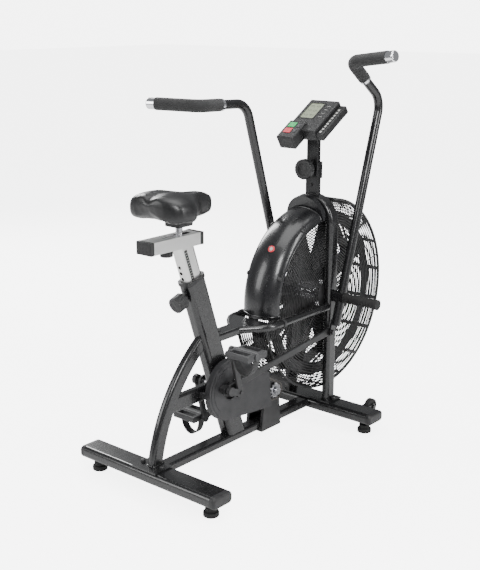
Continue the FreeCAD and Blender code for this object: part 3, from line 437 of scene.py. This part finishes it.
def wire_guards():
    for side, name in ((-1, "right"), (1, "left")):
        low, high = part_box("guard_" + name)
        outer_y = max(abs(low.y), abs(high.y)) - 2.2 * MM
        centre = Vector((FAN.x, side * outer_y, FAN.z))
        wires = Builder()
        radius = 0.050
        while radius < 0.343:
            for start, end in ring_gaps(radius):
                wires.ring(centre, SIDE, radius, WIRE_RADIUS, start, end, steps=110, sides=6)
            radius += RING_PITCH
        wires.ring(centre, SIDE, 0.3455, 3.2 * MM, 186.0, 445.0, steps=150, sides=8)
        inside = centre - SIDE * (side * 2.4 * MM)
        for n in range(12):
            turn = 30.0 * (n + 0.5)
            reach = 0.298 if 95 < turn < 186 else 0.344
            out = Vector((math.cos(math.radians(turn)), 0, math.sin(math.radians(turn))))
            wires.tube([inside + out * 0.044, inside + out * reach], 1.9 * MM, 8)
        made = wires.done("guard_wires_" + name, WIRE, "frame", "guard_wire")
        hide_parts("guard_" + name)
        hub = Builder()
        face = Vector((FAN.x, side * (abs(centre.y) - 1.4 * MM), FAN.z))
        hub.turned(face, SIDE * side, [(-0.001, 0.047), (0.0012, 0.047), (0.002, 0.044), (0.002, 0.030),
                                       (0.0026, 0.028), (0.0026, 0.018)], 48)
        hub.done("guard_plate_" + name, DARK_STEEL, "frame", "guard_wire")


def rim_wires():
    """The fine hoops that run round the cage between its two faces."""
    low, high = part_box("guard_rim")
    hoops = Builder()
    count = 14
    for n in range(1, count):
        y = low.y + (high.y - low.y) * n / count
        hoops.ring(Vector((FAN.x, y, FAN.z)), SIDE, 0.3484, 1.9 * MM, 187.0, 445.2, steps=130, sides=6)
    hoops.done("rim_wires", WIRE, "frame", "guard_wire")


# ---------------------------------------------------------------- saddle
def ease(t, start, end):
    """0 before start, 1 after end, with a smooth rise between them."""
    part = min(1.0, max(0.0, (t - start) / (end - start)))
    return part * part * (3 - 2 * part)


def saddle_half_width(t):
    """Half width at t from nose (0) to tail (1)."""
    nose = 0.026 + 0.012 * min(1.0, t / 0.25)
    wing = 0.076 * ease(t, 0.22, 0.72)
    tail = 1.0 - 0.12 * ease(t, 0.86, 1.0)
    return (nose + wing) * tail


def saddle_mesh(low, high):
    """A closed pad: deep lobes over the sit bones, a dip down the middle and a slim nose."""
    rows, around = 40, 44
    length = high.x - low.x - 0.008
    front = high.x - 0.004
    verts, faces = [], []
    for i in range(rows + 1):
        t = i / rows
        ends = math.sqrt(max(0.0, 1 - abs(2 * t - 1) ** 9))
        half = max(0.004, saddle_half_width(t) * ends)
        top = high.z - 0.002 - 0.019 * (1 - ease(t, 0.3, 0.8)) - 0.010 * (1 - ease(t, 0.0, 0.2))
        under = low.z + 0.003 + 0.010 * (1 - ease(t, 0.25, 0.6)) + 0.006 * ease(t, 0.85, 1.0)
        middle_z, tall = (top + under) / 2, max(0.006, (top - under) / 2 * (0.55 + 0.45 * ends))
        for s in range(around):
            turn = 2 * math.pi * s / around
            across, up = math.cos(turn), math.sin(turn)
            u = math.copysign(abs(across) ** 0.62, across) * half
            v = math.copysign(abs(up) ** 0.62, up) * tall
            if up > 0:
                v -= 0.008 * math.exp(-((u / 0.017) ** 2)) * ease(t, 0.1, 0.4) * up
                v -= 0.010 * (abs(u) / 0.115) ** 2
            else:
                v += 0.026 * (1 - (abs(u) / max(half, 0.01)) ** 2) * ease(t, 0.5, 0.8) * abs(up)
            verts.append(Vector((front - length * t, u, middle_z + v)))
    for i in range(rows):
        for s in range(around):
            a, b = i * around, (i + 1) * around
            faces.append((a + s, a + (s + 1) % around, b + (s + 1) % around, b + s))
    faces.append(tuple(reversed(range(around))))
    faces.append(tuple(rows * around + s for s in range(around)))
    return mesh_of("saddle_pad", verts, faces)


def apply_modifier(obj, name):
    with bpy.context.temp_override(object=obj, active_object=obj, selected_objects=[obj]):
        bpy.ops.object.modifier_apply(modifier=name)


def puff(obj, cap):
    """Cloth under pressure, so that the cover swells between its edges by no more than the cap."""
    rest = [v.co.copy() for v in obj.data.vertices]
    cloth = obj.modifiers.new("cloth", "CLOTH")
    cloth.settings.use_pressure = True
    cloth.settings.uniform_pressure_force = 3.0
    cloth.settings.effector_weights.gravity = 0.0
    cloth.settings.quality = 5
    cloth.settings.tension_stiffness = 40
    cloth.settings.compression_stiffness = 40
    cloth.settings.bending_stiffness = 8
    for step in range(1, 21):
        bpy.context.scene.frame_set(step)
    apply_modifier(obj, "cloth")
    for vert, start in zip(obj.data.vertices, rest):
        move = vert.co - start
        if move.length > cap:
            vert.co = start + move.normalized() * cap
    bpy.context.scene.frame_set(1)


def saddle():
    low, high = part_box("saddle")
    mesh = saddle_mesh(low, high)
    obj = bpy.data.objects.new("saddle_pad", mesh)
    bpy.context.scene.collection.objects.link(obj)
    remesh = obj.modifiers.new("remesh", "REMESH")
    remesh.mode = "VOXEL"
    remesh.voxel_size = 0.005
    bpy.context.view_layer.objects.active = obj
    apply_modifier(obj, "remesh")
    puff(obj, 0.006)
    for vert in obj.data.vertices:
        vert.co.z = max(low.z + 0.001, min(high.z, vert.co.z))
    relax = obj.modifiers.new("relax", "SMOOTH")
    relax.iterations = 6
    relax.factor = 0.5
    apply_modifier(obj, "relax")
    finer = obj.modifiers.new("finer", "SUBSURF")
    finer.levels = 1
    finer.render_levels = 1
    apply_modifier(obj, "finer")
    obj.data.materials.clear()
    obj.data.materials.append(VINYL)
    for face in obj.data.polygons:
        face.use_smooth = True
    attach(obj, "carriage")
    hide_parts("saddle")


# ---------------------------------------------------------------- trim on the frame
def weld(build, centre, along, across, size):
    """A smooth round bead round a rectangular tube's foot, with rounded corners; size is the tube's (along,
    across).
    """
    a, b = size[0] / 2, size[1] / 2
    corner = min(a, b) * 0.45
    path = []
    for quarter, (sx, sy) in enumerate(((1, 1), (-1, 1), (-1, -1), (1, -1))):
        for n in range(7):
            turn = math.radians(quarter * 90 + n * 15)
            u = sx * (a - corner) + corner * math.cos(turn)
            v = sy * (b - corner) + corner * math.sin(turn)
            path.append(centre + along * u + across * v)
    build.tube(path, 1.8 * MM, 8, closed=True)


def frame_trim():
    beads = Builder()
    plate_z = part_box("hoop_legs")[0].z + 1 * MM
    for side in (-1, 1):
        leg = Vector((FAN.x, side * 0.086, plate_z))
        weld(beads, leg, Vector((1, 0, 0)), SIDE, (0.051, 0.031))
    arch_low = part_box("rear_arch_tube")[0]
    foot = Vector((arch_low.x + 0.027, 0, arch_low.z + 1 * MM))
    weld(beads, foot, Vector((1, 0, 0)), SIDE, (0.052, 0.031))
    beads.done("weld_beads", PAINT, "frame", "frame_black")


def height_scale():
    """The dark groove down each side of the seat post, with its plain graduation marks."""
    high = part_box("seat_post")[1]
    groove, marks = Builder(), Builder()
    for side in (-1, 1):
        face_y = SIDE * (side * (high.y + 0.0001))
        foot = post_point(0.655) + face_y + SEAT_REAR * 0.012
        head = post_point(high.z - 0.006) + face_y + SEAT_REAR * 0.012
        run = head - foot
        groove.slab((foot + head) / 2, run, SEAT_REAR, (run.length, 0.0125, 0.0006), 0.002)
        for n in range(int(run.length / 0.009)):
            spot = foot + run.normalized() * (0.006 + n * 0.009) + SIDE * (side * 0.0004)
            marks.slab(spot, run, SEAT_REAR, (0.0014, 0.010 if n % 4 == 0 else 0.006, 0.0004))
    groove.done("post_groove", PLASTIC, "seat", "seat_metal")
    marks.done("post_marks", MARK, "seat", "seat_metal", smooth=False)


def post_point(z):
    """The point on the seat post's axis at a height."""
    rear, front = span("seat_post", SEAT_REAR)
    level = SEAT_REAR * ((rear + front) / 2)
    return level + SEAT_AXIS * ((z - level.z) / SEAT_AXIS.z)


def cap_ribs():
    """Raised bosses on the slider's end caps."""
    low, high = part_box("seat_rail")
    ribs = Builder()
    for x, way in ((low.x, -1), (high.x, 1)):
        face = Vector((x - way * 0.0004, 0, (low.z + high.z) / 2))
        for y in (-0.0225, -0.0075, 0.0075, 0.0225):
            for z in (-0.0115, 0.0, 0.0115):
                ribs.slab(face + Vector((0, y, z)), SIDE, UP, (0.0105, 0.0078, 0.0018), 0.0018)
    ribs.done("slider_cap_bosses", PLASTIC, "seat", "black_plastic")


def knob_faces():
    """Raised rings on the knobs' outer faces."""
    pull = Builder()
    knob_end = end_face("height_knob", SEAT_REAR)
    pull.ring(knob_end, SEAT_REAR, 0.0165, 1.1 * MM, steps=48)
    pull.ring(knob_end, SEAT_REAR, 0.0085, 0.9 * MM, steps=32)
    pull.done("height_knob_rings", PLASTIC, "height_pin", "black_plastic")
    wheel = Builder()
    back = Vector((-1, 0, 0))
    face = end_face("mast_knob", back)
    wheel.ring(face + Vector((0.0006, 0, 0)), back, 0.0295, 0.9 * MM, steps=56)
    button = [(-0.002, 0.019), (0.0, 0.019), (0.0015, 0.017), (0.0018, 0.004)]
    wheel.turned(face + Vector((0.0035, 0, 0)), back, button, 40)
    wheel.done("mast_knob_face", PLASTIC, "mast_screw", "black_plastic")


COVER_INNER, COVER_RISE, COVER_HALF = 0.282, 0.045, 0.0765
BADGE_TURN, BADGE_Y = 141.0, -0.014


def cover_point(degrees, y, half, lift=0.0):
    """A point on the fan cover's outside and the way it faces there."""
    turn = math.radians(degrees)
    out = Vector((math.cos(turn), 0, math.sin(turn)))
    part = max(-1.0, min(1.0, y / half))
    rise = COVER_RISE * math.sqrt(1 - part * part)
    facing = (out * (rise / COVER_RISE ** 2) + SIDE * (y / half ** 2)).normalized()
    return FAN + out * (COVER_INNER + rise) + SIDE * y + facing * lift, facing


def cover_trim():
    """Raised lips round the fan cover, its fixing screws and a plain round badge."""
    half = COVER_HALF
    lips = Builder()
    for turn in (100.6, 183.4):
        path = [cover_point(turn, half * math.cos(math.pi * n / 40), half, 0.0006)[0] for n in range(41)]
        lips.tube(path, 2.2 * MM, 8)
    for side in (-1, 1):
        centre = FAN + SIDE * (side * (half - 0.0008))
        lips.ring(centre, SIDE, COVER_INNER + 0.0015, 1.6 * MM, 101, 185, steps=140)
    lips.done("cover_lips", COVER, "frame", "cover_black")
    screws = Builder()
    for turn, y in ((158.0, 0.062), (158.0, -0.070), (120.0, 0.062), (120.0, -0.070)):
        spot, facing = cover_point(turn, y, half, -0.001)
        screws.turned(spot, facing, [(0, 0.0075), (0.004, 0.0075), (0.0058, 0.005), (0.006, 0.001)], 24)
    screws.done("cover_screws", PLASTIC, "frame", "cover_black")
    badge, ring = Builder(), Builder()
    spot, facing = cover_point(BADGE_TURN, BADGE_Y, half, -0.0005)
    badge.turned(spot, facing, [(0, 0.0125), (0.0016, 0.0125), (0.0022, 0.0115), (0.0022, 0.001)], 40)
    ring.turned(spot, facing, [(0, 0.0062), (0.0026, 0.0062), (0.0028, 0.001)], 32)
    badge.done("badge_disc", BADGE, "frame", "cover_black")
    ring.done("badge_centre", MARK, "frame", "cover_black")


def console_trim():
    """The display's bezel and segments, the dashes along the ledge."""
    tilt = math.radians(31.5)
    along = Vector((math.cos(tilt), 0, math.sin(tilt)))
    out = Vector((-math.sin(tilt), 0, math.cos(tilt)))
    low_a, high_a = span("console_screen", along)
    low_y, high_y = span("console_screen", SIDE)
    top = span("console_screen", out)[1]
    face = span("console_case", out)[1] - 0.009
    bezel, marks, dashes = Builder(), Builder(), Builder()

    def on_face(a, y, level):
        return along * a + SIDE * y + out * level

    mid_a, mid_y = (low_a + high_a) / 2, (low_y + high_y) / 2
    for a in (low_a - 0.002, high_a + 0.002):
        bezel.slab(on_face(a, mid_y, face), along, SIDE, (0.004, high_y - low_y + 0.008, 0.0018), 0.001)
    for y in (low_y - 0.002, high_y + 0.002):
        bezel.slab(on_face(mid_a, y, face), along, SIDE, (high_a - low_a + 0.008, 0.004, 0.0018), 0.001)
    for row in range(3):
        for column in range(2):
            a, y = low_a + 0.018 + row * 0.025, low_y + 0.017 + column * 0.024
            for bar in (-0.006, 0.0, 0.006):
                marks.slab(on_face(a, y + bar, top + 0.0002), along, SIDE, (0.009, 0.0011, 0.0003))
                spot = on_face(a + 0.0045, y + bar + 0.002, top + 0.0002)
                marks.slab(spot, along, SIDE, (0.0011, 0.003, 0.0003))
    ledge_y = span("console_case", SIDE)[0] + 0.014
    start = span("console_screen", along)[0] - 0.052
    for n in range(9):
        spot = on_face(start + n * 0.0155, ledge_y, face - 0.0136)
        dashes.slab(spot, along, SIDE, (0.0095, 0.0075, 0.0006), 0.001)
    print_y = (low_y + span("console_case", SIDE)[0] + 0.028) / 2
    for n in range(4):
        spot = on_face(low_a + 0.012 + n * 0.02, print_y, face + 0.0002)
        dashes.slab(spot, along, SIDE, (0.0012, 0.016, 0.0005))
    bezel.done("display_bezel", PLASTIC, "console", "black_plastic")
    marks.done("display_segments", GREY_MARK, "console", "screen", smooth=False)
    dashes.done("ledge_dashes", MARK, "console", "black_plastic", smooth=False)


camera()
studio()
paint_nodes()
wire_guards()
rim_wires()
saddle()
frame_trim()
height_scale()
cap_ribs()
knob_faces()
cover_trim()
console_trim()
